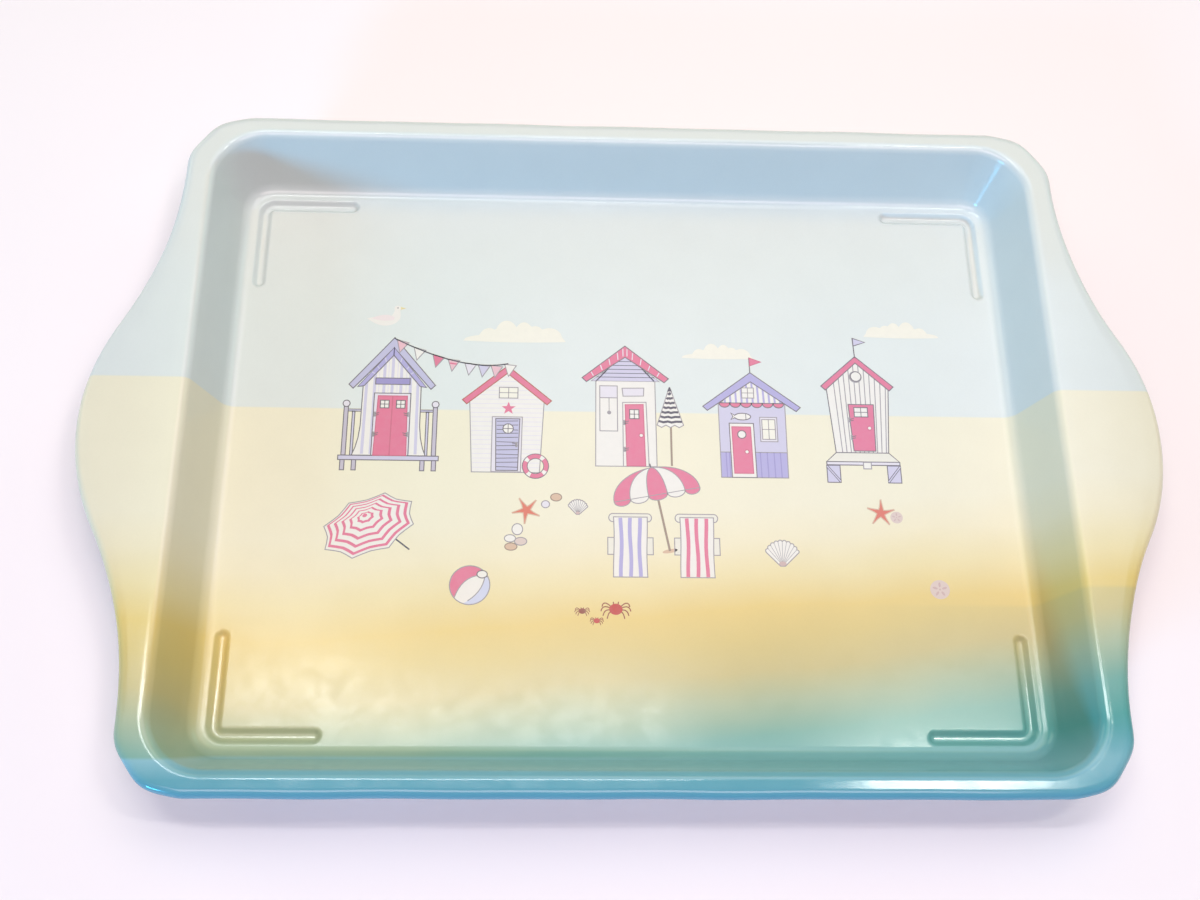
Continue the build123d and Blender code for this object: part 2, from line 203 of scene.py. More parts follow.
def sheet_mesh(name, loops, thickness, drop):
    """A closed sheet: the loops are its upper face, and its lower face lies a thickness inside."""
    upper = np.array(loops)
    rows = len(upper)
    along = np.roll(upper, -1, axis=1) - np.roll(upper, 1, axis=1)
    across = np.gradient(upper, axis=0)
    normal = np.cross(along, across)
    normal /= np.linalg.norm(normal, axis=2, keepdims=True)
    lower = upper - normal * thickness
    points = np.concatenate([upper.reshape(-1, 3), lower.reshape(-1, 3)])
    points[:, 2] += drop
    shift = rows * COUNT
    faces = [tuple(range(COUNT))[::-1], tuple(range(shift, shift + COUNT))]
    slots = [0, 1]
    for j in range(rows - 1):
        for i in range(COUNT):
            k = (i + 1) % COUNT
            a, b, c, d = j * COUNT + i, j * COUNT + k, (j + 1) * COUNT + k, (j + 1) * COUNT + i
            faces += [(a, b, c, d), (d + shift, c + shift, b + shift, a + shift)]
            slots += [0, 1]
    last = (rows - 1) * COUNT
    for i in range(COUNT):
        k = (i + 1) % COUNT
        faces.append((last + i, last + k, last + k + shift, last + i + shift))
        slots.append(1)
    mesh = bpy.data.meshes.new(name)
    mesh.from_pydata((points * MM).tolist(), [], faces)
    mesh.polygons.foreach_set("material_index", slots)
    mesh.polygons.foreach_set("use_smooth", [True] * len(faces))
    mesh.set_sharp_from_angle(angle=SHARP)
    mesh.update()
    return new_object(name, mesh)


# --- materials --------------------------------------------


class Nodes:
    """Short calls for building one material's node tree."""

    def __init__(self, name):
        self.material = bpy.data.materials.new(name)
        self.material.use_nodes = True
        self.tree = self.material.node_tree
        self.shader = self.tree.nodes["Principled BSDF"]

    def add(self, kind, **settings):
        node = self.tree.nodes.new(kind)
        for key, value in settings.items():
            setattr(node, key, value)
        return node

    def link(self, source, target):
        """Feeds the target from a socket, or sets it to a plain number or colour."""
        if isinstance(source, tuple):
            target.default_value = (*source, 1.0)
        elif isinstance(source, (int, float)):
            target.default_value = source
        else:
            self.tree.links.new(source, target)

    def math(self, operation, *values, clamp=False):
        node = self.add("ShaderNodeMath", operation=operation, use_clamp=clamp)
        for value, socket in zip(values, node.inputs):
            self.link(value, socket)
        return node.outputs[0]

    def place(self):
        """Object coordinates in mm: (vector, x, y, z)."""
        coords = self.add("ShaderNodeTexCoord").outputs["Object"]
        scale = self.add("ShaderNodeVectorMath", operation="SCALE")
        self.link(1 / MM, scale.inputs["Scale"])
        self.link(coords, scale.inputs[0])
        split = self.add("ShaderNodeSeparateXYZ")
        self.link(scale.outputs[0], split.inputs[0])
        return scale.outputs[0], *split.outputs

    def noise(self, where, scale, detail=2.0, roughness=0.5):
        node = self.add("ShaderNodeTexNoise")
        settings = {"Vector": where, "Scale": scale, "Detail": detail, "Roughness": roughness}
        for key, value in settings.items():
            self.link(value, node.inputs[key])
        return node.outputs["Fac"]

    def ramp(self, value, stops):
        node = self.add("ShaderNodeValToRGB")
        ramp = node.color_ramp
        while len(ramp.elements) < len(stops):
            ramp.elements.new(1.0)
        for element, (position, colour) in zip(ramp.elements, stops):
            element.position = position
            element.color = (*colour, 1.0)
        self.link(value, node.inputs["Fac"])
        return node.outputs["Color"]

    def bands(self, value, low, high, stops):
        """Colours blended along a value, with each stop's place given on that value's scale."""
        share = self.math("DIVIDE", self.math("SUBTRACT", value, low), high - low, clamp=True)
        return self.ramp(share, [((at - low) / (high - low), colour) for at, colour in stops])

    def mix(self, factor, a, b, blend="MIX"):
        node = self.add("ShaderNodeMix", data_type="RGBA", blend_type=blend)
        for value, at in ((factor, 0), (a, 6), (b, 7)):
            self.link(value, node.inputs[at])
        return node.outputs[2]

    def remap(self, value, low, high, out_low=0.0, out_high=1.0, kind="LINEAR"):
        """The value carried from low..high to out_low..out_high."""
        node = self.add("ShaderNodeMapRange", interpolation_type=kind)
        for given, socket in zip((value, low, high, out_low, out_high), node.inputs):
            self.link(given, socket)
        return node.outputs["Result"]

    def step(self, value, low, high):
        """0 below low, 1 above high, smooth between."""
        return self.remap(value, low, high, kind="SMOOTHSTEP")

    def bump(self, height, strength, distance, under=None):
        node = self.add("ShaderNodeBump")
        for key, value in (("Strength", strength), ("Distance", distance), ("Height", height)):
            self.link(value, node.inputs[key])
        if under is not None:
            self.link(under, node.inputs["Normal"])
        return node.outputs["Normal"]


# The flat floor is duller from use than the beads below it and the walls above it.
FLOOR_FROM, FLOOR_TO = (1.0, 1.25), (1.5, 2.2)
FLOOR_WEAR = 0.075
GLOSS, RUBBED = 0.09, 0.18
# Strength of each bump and its depth in metres: fine orange peel over slow waves.
PEEL, WAVES = (0.35, 0.000012), (0.5, 0.00005)


def varnish(n, where, z):
    """The gloss varnish over the whole print: orange peel, slow unevenness and dulling by wear."""
    waves = n.bump(n.noise(where, 0.09, 1.0), *WAVES)
    peel = n.bump(n.noise(where, 1.1, 2.0), *PEEL, waves)
    n.link(peel, n.shader.inputs["Normal"])
    rough = n.remap(n.noise(where, 0.35, 5.0, 0.65), 0.3, 0.75, GLOSS, RUBBED)
    floor = n.math("SUBTRACT", n.step(z, *FLOOR_FROM), n.step(z, *FLOOR_TO))
    n.link(n.math("MULTIPLY_ADD", floor, FLOOR_WEAR, rough), n.shader.inputs["Roughness"])


# Where the printed colours change, in mm on the tray: the horizon, the slanting shore, the sea.
HORIZON = 9.3
HORIZON_SOFT, SEA_SOFT, TIDE_SOFT = 0.2, 0.4, 0.5
DRIFT = 5.0
SLANT = 0.088
SLANT_END = 60.0  # no further slope beyond this, on either side
W_TOP, W_BOTTOM = 20.0, -80.0
SHORE = [
    (-80.0, (0.10, 0.33, 0.44)),
    (-72.0, (0.10, 0.33, 0.38)),
    (-66.0, (0.09, 0.32, 0.30)),
    (-59.5, (0.17, 0.37, 0.32)),
    (-53.0, (0.35, 0.43, 0.295)),
    (-46.5, (0.50, 0.445, 0.215)),
    (-40.0, (0.58, 0.475, 0.185)),
    (-34.0, (0.645, 0.505, 0.18)),
    (-27.0, (0.68, 0.595, 0.335)),
    (-20.0, (0.70, 0.645, 0.46)),
    (-13.0, (0.70, 0.665, 0.515)),
]
SEA_EDGE = -60.35
DEEP_FROM, DEEP_TO = -72.0, -60.0
DEEP = [(-71.0, (0.10, 0.30, 0.40)), (-67.0, (0.11, 0.33, 0.40)), (-62.5, (0.27, 0.48, 0.53))]
SEA_CLIMB = 0.2  # the edge lies nearer the front where the metal stands higher
SURF = 7.0
SURF_FADE = (-40.0, 50.0)
TIDE_LINE = -31.0
TIDE_START = 20.0
TIDE_CURVE = 0.0014
SKY = (0.60, 0.645, 0.63)


def print_material():
    """The litho print: sky, sand, golden wet sand and sea, under gloss varnish."""
    n = Nodes("printed_tin")
    where, x, y, z = n.place()
    drift = n.math("MULTIPLY_ADD", n.noise(where, 0.03, 2.0), DRIFT, -DRIFT / 2)
    above_tide = n.step(y, TIDE_LINE - TIDE_SOFT, TIDE_LINE + TIDE_SOFT)
    below_tide = n.math("SUBTRACT", 1.0, above_tide)
    right_of = n.math("MAXIMUM", n.math("SUBTRACT", x, TIDE_START), 0.0)
    tide = n.math("MULTIPLY", n.math("MULTIPLY", right_of, right_of), below_tide)
    slide = n.math("MULTIPLY_ADD", tide, -TIDE_CURVE, drift)
    slant_x = n.math("MAXIMUM", n.math("MINIMUM", x, SLANT_END), -SLANT_END)
    w = n.math("ADD", n.math("MULTIPLY_ADD", slant_x, -SLANT, y), slide)
    shore = n.bands(w, W_BOTTOM, W_TOP, SHORE)
    deep = n.bands(y, DEEP_FROM, DEEP_TO, DEEP)
    edge_y = n.math("MULTIPLY_ADD", z, SEA_CLIMB, y)
    sharp = n.step(edge_y, SEA_EDGE - SEA_SOFT, SEA_EDGE + SEA_SOFT)
    soft = n.step(edge_y, SEA_EDGE - SURF, SEA_EDGE + SURF)
    faded = n.math("MULTIPLY", n.math("SUBTRACT", soft, sharp), n.step(x, *SURF_FADE))
    sea = n.mix(n.math("ADD", sharp, faded), deep, shore)
    sky = n.mix(n.step(y, HORIZON - HORIZON_SOFT, HORIZON + HORIZON_SOFT), sea, SKY)
    grain = n.noise(where, 2.6, 3.0, 0.7)
    cloudy = n.noise(where, 0.12, 3.0)
    tone = n.math("MULTIPLY_ADD", grain, 0.05, n.math("MULTIPLY_ADD", cloudy, 0.05, 0.95))
    grey = n.add("ShaderNodeCombineColor")
    for socket in grey.inputs[:3]:
        n.link(tone, socket)
    n.link(n.mix(1.0, sky, grey.outputs[0], "MULTIPLY"), n.shader.inputs["Base Color"])
    varnish(n, where, z)
    return n.material


def back_material():
    """The unprinted face: bright tinplate under clear lacquer, with its rolling grain."""
    n = Nodes("lacquered_tin")
    where = n.place()[0]
    stretch = n.add("ShaderNodeVectorMath", operation="MULTIPLY")
    n.link(where, stretch.inputs[0])
    stretch.inputs[1].default_value = (0.03, 1.6, 0.2)
    grain = n.noise(stretch.outputs[0], 1.0, 4.0, 0.7)
    stain = n.noise(where, 0.05, 4.0, 0.6)
    colour = n.ramp(stain, [(0.3, (0.62, 0.60, 0.55)), (0.7, (0.74, 0.73, 0.70))])
    n.link(colour, n.shader.inputs["Base Color"])
    n.link(1.0, n.shader.inputs["Metallic"])
    n.link(n.remap(grain, 0.0, 1.0, 0.24, 0.42), n.shader.inputs["Roughness"])
    n.link(n.bump(grain, 0.3, 0.00001), n.shader.inputs["Normal"])
    return n.material


tray = sheet_mesh("tray_sheet", upper_loops(), SHEET, FLOOR_TOP)
tray.data.materials.append(print_material())
tray.data.materials.append(back_material())
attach(tray, "root")
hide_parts("tray_pressing")

# --- inks -------------------------------------------------

INKS = {
    "pink": (0.61, 0.135, 0.245),
    "rose": (0.50, 0.10, 0.185),
    "blush": (0.66, 0.40, 0.46),
    "lilac": (0.35, 0.325, 0.57),
    "violet": (0.27, 0.235, 0.48),
    "dove": (0.43, 0.42, 0.585),
    "haze": (0.50, 0.48, 0.62),
    "post": (0.45, 0.41, 0.50),
    "mist": (0.63, 0.60, 0.66),
    "white": (0.70, 0.68, 0.64),
    "cream": (0.67, 0.65, 0.57),
    "cloud": (0.72, 0.70, 0.61),
    "pen": (0.13, 0.115, 0.14),
    "soft_pen": (0.28, 0.26, 0.28),
    "indigo": (0.055, 0.05, 0.085),
    "wood": (0.27, 0.20, 0.155),
    "tan": (0.55, 0.38, 0.27),
    "coral": (0.58, 0.13, 0.085),
    "rust": (0.34, 0.09, 0.06),
    "red": (0.43, 0.02, 0.015),
    "brick": (0.22, 0.035, 0.01),
    "petal": (0.70, 0.62, 0.62),
    "shell": (0.58, 0.47, 0.43),
    "dusty": (0.50, 0.36, 0.34),
    "powder": (0.50, 0.53, 0.68),
    "yellow": (0.66, 0.58, 0.30),
}
materials = {}


def ink(name):
    """One printing ink under the same varnish, a little uneven like any litho tint."""
    if name not in materials:
        n = Nodes("ink_" + name)
        where, _, _, z = n.place()
        tint = INKS[name]
        fade = tuple(min(1.0, c * 0.93 + 0.03) for c in tint)
        patch = n.noise(where, 0.7, 4.0, 0.65)
        colour = n.ramp(patch, [(0.36, tint), (0.7, fade)])
        n.link(colour, n.shader.inputs["Base Color"])
        varnish(n, where, z)
        materials[name] = n.material
    return materials[name]


# --- drawing with ink -------------------------------------

# Line width, and the height of the lowest ink and of each level above it, in mm.
PEN = 0.2
FIRST_LEVEL = 0.012
LEVEL = 0.004
MITRE_LIMIT = 0.55  # sharper corners than this are cut short


def circle(x, y, r, ry=None, start=0, stop=360, count=28):
    """Points on a circle or ellipse, anticlockwise from start to stop in degrees."""
    full = stop - start == 360
    angles = np.radians(np.linspace(start, stop, count + 1))[: count if full else None]
    return [(x + r * cos(a), y + (ry or r) * sin(a)) for a in angles]


def bend_line(a, b, c, count=8):
    """Points on a smooth bend from a to c, pulled towards b."""
    ts = np.linspace(0, 1, count + 1)
    weights = [((1 - t) ** 2, 2 * t * (1 - t), t * t) for t in ts]
    return [tuple(u * p + v * q + w * r for p, q, r in zip(a, b, c)) for u, v, w in weights]


def across(a, b, t):
    """The point a share t of the way from a to b."""
    return (a[0] + (b[0] - a[0]) * t, a[1] + (b[1] - a[1]) * t)


class Print:
    """One printed motif: flat closed shapes of ink on their own levels, joined as one piece."""

    def __init__(self, node, slot, origin=None, rise=0.0, turn=0.0):
        self.node, self.slot_name = node, slot
        low, high = box_mm(node)
        self.origin = origin or ((low.x + high.x) / 2, low.y + rise)
        self.turn = radians(turn)
        self.points, self.faces, self.slots, self.inks = [], [], [], []

    def place(self, points):
        """Points of the motif's own drawing, turned and moved to its place on the tray."""
        c, s = cos(self.turn), sin(self.turn)
        ox, oy = self.origin
        return [(ox + x * c - y * s, oy + x * s + y * c) for x, y in points]

    def add(self, name, level, flat, caps, sides):
        """Closed prism: flat points, caps as faces seen from above, sides as loops of points."""
        if name not in self.inks:
            self.inks.append(name)
        base, count = len(self.points), len(flat)
        top = FLOOR_TOP + FIRST_LEVEL + LEVEL * level
        self.points += [(x, y, top) for x, y in flat] + [(x, y, FLOOR_TOP) for x, y in flat]
        made = [tuple(base + i for i in cap) for cap in caps]
        made += [tuple(base + count + i for i in reversed(cap)) for cap in caps]
        for loop in sides:
            for a, b in zip(loop, loop[1:] + loop[:1]):
                made.append((base + b, base + a, base + count + a, base + count + b))
        self.faces += made
        self.slots += [self.inks.index(name)] * len(made)

    def area(self, name, level, *points, pen=None):
        """A filled shape, with an outline one level up if pen names an ink."""
        flat = self.place(points)
        turn = sum(a[0] * b[1] - b[0] * a[1] for a, b in zip(flat, flat[1:] + flat[:1]))
        order = list(range(len(flat)))
        if turn < 0:
            order.reverse()
        self.add(name, level, flat, [order], [order])
        if pen:
            self.line(level + 1, *points, name=pen, closed=True)

    def box(self, name, level, x, y, width, height, pen=None):
        """A rectangle standing on (x, y), the middle of its lower side."""
        half = width / 2
        corners = [(x - half, y), (x + half, y), (x + half, y + height), (x - half, y + height)]
        self.area(name, level, *corners, pen=pen)

    def line(self, level, *points, name="pen", width=PEN, closed=False):
        """A drawn line of even width with mitred corners."""
        flat = np.array(self.place(points))
        count = len(flat)
        after = np.roll(flat, -1, axis=0) - flat
        before = np.roll(after, 1, axis=0)
        if not closed:
            after[-1], before[0] = before[-1], after[0]
        after /= np.linalg.norm(after, axis=1, keepdims=True)
        before /= np.linalg.norm(before, axis=1, keepdims=True)
        mitre = after + before
        mitre /= np.maximum(np.linalg.norm(mitre, axis=1, keepdims=True), 1e-6)
        side = np.column_stack([-mitre[:, 1], mitre[:, 0]])
        square = np.column_stack([-after[:, 1], after[:, 0]])
        spread_by = np.maximum(np.sum(side * square, axis=1), MITRE_LIMIT)
        side *= (width / 2 / spread_by)[:, None]
        both = [tuple(p) for p in flat + side] + [tuple(p) for p in flat - side]
        runs = count if closed else count - 1
        caps = [(count + i, count + (i + 1) % count, (i + 1) % count, i) for i in range(runs)]
        left, right_side = list(range(count)), list(range(count, 2 * count))
        if closed:
            sides = [right_side, left[::-1]]
        else:
            sides = [right_side + left[::-1]]
        self.add(name, level, both, caps, sides)

    def disc(self, name, level, x, y, r, ry=None, pen=None):
        """A filled circle or ellipse."""
        self.area(name, level, *circle(x, y, r, ry), pen=pen)

    def panes(self, level, x, y, width, height, name="white", pen="pen"):
        """A small window of four panes."""
        self.box(name, level, x, y, width, height, pen=pen)
        self.line(level + 1, (x, y), (x, y + height), name=pen, width=0.16)
        middle = y + height / 2
        self.line(level + 1, (x - width / 2, middle), (x + width / 2, middle), name=pen, width=0.16)

    def hinge(self, level, x, y, way):
        """A strap hinge drawn as two short strokes."""
        self.box("soft_pen", level, x, y - 0.55, 0.45, 1.1)
        self.line(level + 1, (x, y + 0.1), (x + way * 0.9, y + 0.35), width=0.16)
        self.line(level + 1, (x, y - 0.25), (x + way * 0.8, y - 0.1), width=0.16)

    def finish(self):
        """Makes the piece, which stands for its CAD node."""
        mesh = bpy.data.meshes.new(self.node.replace("print_", "ink_"))
        mesh.from_pydata((np.array(self.points) * MM).tolist(), [], self.faces)
        for name in self.inks:
            mesh.materials.append(ink(name))
        mesh.polygons.foreach_set("material_index", self.slots)
        mesh.update()
        piece = new_object(mesh.name, mesh)
        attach(piece, "root")
        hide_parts(self.node)


# --- beach huts -------------------------------------------

# In mm: width of foot and wall head, wall height, roof span, eaves height, top, roof depth.
Hut = namedtuple("Hut", "foot head wall span eaves top roof")
EAVE_CUT = 0.9


def roof_sides(hut):
    """The two slopes of a hut's roof, left then right."""
    span, inner = hut.span / 2, hut.span / 2 - EAVE_CUT
    slope = [(-span, hut.eaves), (0, hut.top), (0, hut.top - hut.roof), (-inner, hut.eaves - EAVE_CUT)]
    return slope, [(-x, y) for x, y in slope]


def draw_roof(p, hut, level, name, pen):
    """Both slopes of a roof as one shape, with one outline."""
    left, right_slope = roof_sides(hut)
    p.area(name, level, left[0], left[1], right_slope[0], right_slope[3], left[2], left[3], pen=pen)


def wall_shape(hut):
    """A hut's front: a wall that leans a little, and its gable."""
    foot, head = hut.foot / 2, hut.head / 2
    peak = (0, hut.top - hut.roof / 2)
    return [(-foot, 0), (foot, 0), (head, hut.wall), peak, (-head, hut.wall)]


def wall_x(hut, share, y):
    """The x of a line that fans up the wall, at share -1..1 of its half width."""
    t = min(y / hut.wall, 1.0)
    return share * (hut.foot + (hut.head - hut.foot) * t) / 2


def gable_y(hut, x):
    """The height of the roof's underside over x."""
    inner = hut.span / 2 - EAVE_CUT
    fall = (hut.top - hut.roof) - (hut.eaves - EAVE_CUT)
    return hut.top - hut.roof - abs(x) / inner * fall


def porch_hut():
    """The first hut, with a porch, railings and double doors."""
    hut = Hut(14.7, 11.8, 15.2, 17.6, 15.6, 26.4, 2.4)
    p = Print("print_hut_porch", "ink_lilac", rise=3.2)
    half = hut.head / 2
    for side in (-1, 1):
        for x in (6.8, 9.1):
            p.box("post", 0, side * x, -3.2, 0.85, 2.3, pen="pen")
        p.box("haze", 0, side * 7.45, 0, 0.5, 9.6, pen="pen")
        p.box("post", 2, side * 9.0, 0, 0.85, 10.6, pen="pen")
        p.disc("mist", 4, side * 9.0, 11.3, 0.7, pen="pen")
        p.box("haze", 0, side * 7.3, 9.6, 3.0, 0.45, pen="pen")
    flare = [(7.35, 0), (6.75, 1.6), (6.25, 3.8), (5.98, 6.4), (half, hut.wall)]
    p.area("white", 2, *flare, (0, hut.top - hut.roof), *[(-x, y) for x, y in flare[::-1]], pen="pen")
    for share in (-0.88, -0.6, -0.28, 0.0, 0.3, 0.62, 0.88):
        x = share * half
        low = [(x * 1.03 - 0.3, 0.3), (x * 1.03 + 0.3, 0.3)]
        high = [(x + 0.3, gable_y(hut, x + 0.3) + 0.3), (x - 0.3, gable_y(hut, x - 0.3) + 0.3)]
        p.area("haze", 3, *low, *high)
    for share in (-0.46, -0.14, 0.17, 0.48):
        x = share * half
        p.line(3, (x, 13.9), (x, gable_y(hut, x) + 0.2), name="mist", width=0.2)
    draw_roof(p, hut, 6, "dove", "pen")
    for side in (-1, 1):
        shade = [(0, hut.top - 2.3), (0, hut.top - 4.1), (side * 5.7, 15.3), (side * 7.0, 15.1)]
        p.area("lilac", 8, *shade, pen="pen")
        for t in (0.25, 0.47, 0.62):
            a, b = across(shade[0], shade[3], t), across(shade[1], shade[2], t)
            p.line(10, across(a, b, 0.1), across(a, b, 0.85), name="haze", width=0.22)
    p.box("violet", 5, 0.1, 15.7, 7.0, 1.4, pen="pen")
    p.box("mist", 4, 0.2, 0, 7.4, 13.7, pen="pen")
    p.area("pink", 6, (-3.1, 0), (3.5, 0), (3.2, 13.1), (-2.7, 13.1), pen="rose")
    p.line(8, (0.15, 0), (0.25, 13.1), name="rose", width=0.22)
    for x in (-1.3, 1.95):
        p.panes(8, x, 10.4, 1.75, 1.7)
    for y in (9.0, 4.6):
        p.hinge(9, -3.2, y, 1)
        p.hinge(9, 3.5, y, -1)
    p.box("haze", 5, 0, -1.0, 20.0, 0.95, pen="pen")
    p.finish()


def cream_hut():
    """The boarded hut with a louvred door and a star."""
    hut = Hut(13.6, 15.2, 15.7, 18.2, 15.8, 23.6, 1.7)
    p = Print("print_hut_cream", "ink_cream")
    p.area("white", 0, *wall_shape(hut), pen="soft_pen")
    gable_rise = 7.4
    for y in range(1, 22):
        under_roof = (hut.top - hut.roof / 2 - y) / gable_rise * hut.head / 2
        half = min(wall_x(hut, 1, y), under_roof)
        p.line(1, (-half + 0.2, y), (half - 0.2, y + 0.05), name="mist", width=0.14)
    p.area("mist", 2, (-2.9, 0.1), (3.0, 0.1), (3.2, 12.1), (-2.9, 12.1), pen="soft_pen")
    p.area("dove", 4, (-1.95, 0.4), (2.4, 0.4), (2.7, 11.7), (-2.2, 11.7), pen="pen")
    for i in range(12):
        y = 1.2 + i * 0.9
        p.line(6, (-1.95, y), (2.4, y + (0.12 if i % 3 else -0.1)), width=0.16)
    p.disc("white", 7, 0.35, 9.5, 1.05, pen="pen")
    p.line(9, (-0.7, 9.5), (1.4, 9.5), width=0.15)
    p.line(9, (0.35, 8.45), (0.35, 10.55), width=0.15)
    p.hinge(8, 2.1, 6.0, -1)
    p.panes(2, 0.3, 16.3, 3.8, 2.4, name="cloud", pen="soft_pen")
    star = []
    for i in range(10):
        r, a = (1.5, 0.62)[i % 2], pi * i / 5
        star.append((r * sin(a) + 0.35, r * cos(a) + 14.0))
    p.area("pink", 2, *star)
    draw_roof(p, hut, 3, "pink", "rust")
    p.finish()


def tiled_hut():
    """The tall hut with a striped roof and a slatted gable."""
    hut = Hut(12.4, 12.2, 18.8, 17.9, 19.6, 27.0, 2.6)
    p = Print("print_hut_tiled", "ink_cream")
    p.area("white", 0, *wall_shape(hut), pen="soft_pen")
    inner = hut.span / 2 - EAVE_CUT - 1.0
    base, rise = 18.9, 5.9
    p.area("haze", 1, (-inner, base), (inner, base), (0, hut.top - hut.roof + 0.2), pen="soft_pen")
    for i in range(1, 6):
        y = base + i * 0.9
        half = inner * (1 - i * 0.9 / rise)
        p.line(2, (-half, y), (half, y), name="indigo", width=0.15)
    p.box("white", 1, -3.5, 7.7, 3.6, 10.1, pen="soft_pen")
    p.box("mist", 2, -3.5, 15.1, 3.6, 2.7, pen="soft_pen")
    p.line(3, (-3.4, 15.1), (-3.4, 12.2), name="soft_pen", width=0.16)
    p.disc("soft_pen", 3, -3.4, 11.8, 0.42)
    p.area("mist", 1, (-0.5, 15.5), (3.7, 15.6), (3.8, 17.4), (-0.7, 17.3), pen="soft_pen")
    p.area("white", 1, (-0.6, 0), (4.6, 0), (4.2, 14.2), (-0.6, 14.1), pen="soft_pen")
    p.area("pink", 3, (0.1, 0.1), (3.9, 0.1), (3.6, 13.7), (-0.1, 13.6), pen="rose")
    p.panes(5, 1.75, 10.5, 1.9, 2.0)
    p.disc("white", 5, 3.1, 6.8, 0.42, pen="rose")
    for y in (9.6, 3.7):
        p.hinge(4, -0.3, y, 1)
    draw_roof(p, hut, 4, "pink", "pen")
    for slope in roof_sides(hut):
        for t in (0.2, 0.42, 0.62, 0.82, 0.95):
            a, b = across(slope[0], slope[1], t), across(slope[3], slope[2], t)
            p.line(6, across(a, b, 0.12), across(a, b, 0.8), name="mist", width=0.2)
    p.finish()


def lilac_hut():
    """The lilac hut with a scalloped edge and a flag."""
    hut = Hut(13.6, 13.8, 16.1, 20.2, 15.6, 23.4, 2.1)
    p = Print("print_hut_lilac", "ink_lilac")
    p.area("haze", 0, *wall_shape(hut), pen="soft_pen")
    base, inner = 16.3, 6.7
    gable = hut.top - hut.roof
    p.area("white", 1, (-inner, base), (inner, base), (0.6, gable), (-0.6, gable))
    for i in range(-5, 6):
        x = i * 1.15 + 0.3
        p.line(2, (x, base), (x - 0.12, gable_y(hut, x) + 0.2), name="lilac", width=0.42)
    for i in range(6):
        x = -5.6 + i * 2.24
        scallop = circle(x, base + 0.15, 1.12, 1.0, 180, 360, 10)
        p.area("pink", 3, *scallop, pen="pen")
    p.panes(3, -0.7, 17.6, 2.5, 2.3, pen="soft_pen")
    p.area("lilac", 1, (-6.8, 0), (6.8, 0), (6.83, 5.5), (-6.83, 5.5), pen="soft_pen")
    for x in (-5.6, -4.9, 1.4, 2.8, 4.2, 5.5):
        p.line(2, (x, 0), (x - 0.1, 5.5), name="violet", width=0.22)
    p.area("white", 3, (-4.6, 0), (0.4, 0), (0.2, 11.9), (-4.8, 11.9), pen="pen")
    p.area("pink", 5, (-4.1, 0.9), (-0.25, 0.9), (-0.45, 11.1), (-4.3, 11.1), pen="rose")
    p.disc("white", 6, -2.3, 9.4, 0.85, pen="pen")
    p.disc("white", 6, -1.4, 5.6, 0.42, pen="rose")
    body = circle(-2.0, 13.4, 1.7, 0.75, 160, -160, 22)
    p.area("white", 1, (-4.4, 14.2), *body, (-4.4, 12.7), (-3.95, 13.4), pen="pen")
    p.line(2, (-1.3, 12.75), (-1.3, 14.05), width=0.14)
    p.box("mist", 2, 3.3, 7.9, 3.5, 5.4, pen="soft_pen")
    p.panes(4, 3.3, 8.4, 2.7, 4.4, name="cloud", pen="soft_pen")
    draw_roof(p, hut, 5, "lilac", "pen")
    tip = hut.top + 3.5
    p.line(4, (0, hut.top - 0.3), (-0.1, tip), width=0.22)
    p.area("pink", 4, (0, tip - 0.1), (2.4, tip - 1.0), (0.05, tip - 1.9), pen="rose")
    p.finish()


def raised_hut():
    """The striped hut that stands on a deck with blocks."""
    hut = Hut(10.8, 13.0, 14.5, 15.2, 14.9, 21.8, 1.5)
    p = Print("print_hut_raised", "ink_white", rise=6.5)
    step = 7.6
    for side in (-1, 1):
        p.box("haze", 0, side * (step - 1.4), -6.5, 2.7, 3.7, pen="pen")
        near, far = side * (step - 0.1), side * (step - 2.7)
        p.line(2, (near, -3.0), (far, -6.3), width=0.55)
        p.line(3, (near, -3.0), (far, -6.3), name="haze", width=0.25)
    p.area("cream", 4, (-5.4, 0), (0.1 - step, -2.0), (step - 0.1, -2.0), (5.4, 0), pen="pen")
    p.box("mist", 6, 0, -2.7, 2 * step - 0.2, 0.7, pen="pen")
    p.box("white", 8, 0.8, -3.5, 1.6, 1.4, pen="soft_pen")
    p.area("white", 1, *wall_shape(hut), pen="pen")
    for i in range(-5, 6):
        share = i / 6 + 0.08
        top = wall_x(hut, share, hut.wall)
        head = (top, min(gable_y(hut, top), 20.4))
        p.line(2, (wall_x(hut, share, 0), 0), head, name="soft_pen", width=0.2)
    p.disc("soft_pen", 4, -0.2, 17.1, 1.35)
    p.disc("white", 5, -0.1, 17.2, 1.1, pen="pen")
    p.area("pink", 4, (-1.7, 0.4), (2.8, 0.4), (3.1, 10.8), (-2.2, 10.8), pen="pen")
    p.panes(6, 0.35, 8.0, 2.8, 2.1)
    p.disc("white", 6, 1.9, 5.5, 0.42, pen="rose")
    for x, y in ((-2.1, 7.3), (-1.9, 3.4)):
        p.hinge(6, x, y, 1)
    draw_roof(p, hut, 5, "pink", "pen")
    tip = hut.top + 4.4
    p.line(5, (0, hut.top - 0.3), (-0.2, tip), width=0.22)
    p.area("haze", 5, (-0.15, tip - 0.1), (2.4, tip - 1.0), (-0.1, tip - 1.9), pen="pen")
    p.finish()


# --- sky --------------------------------------------------


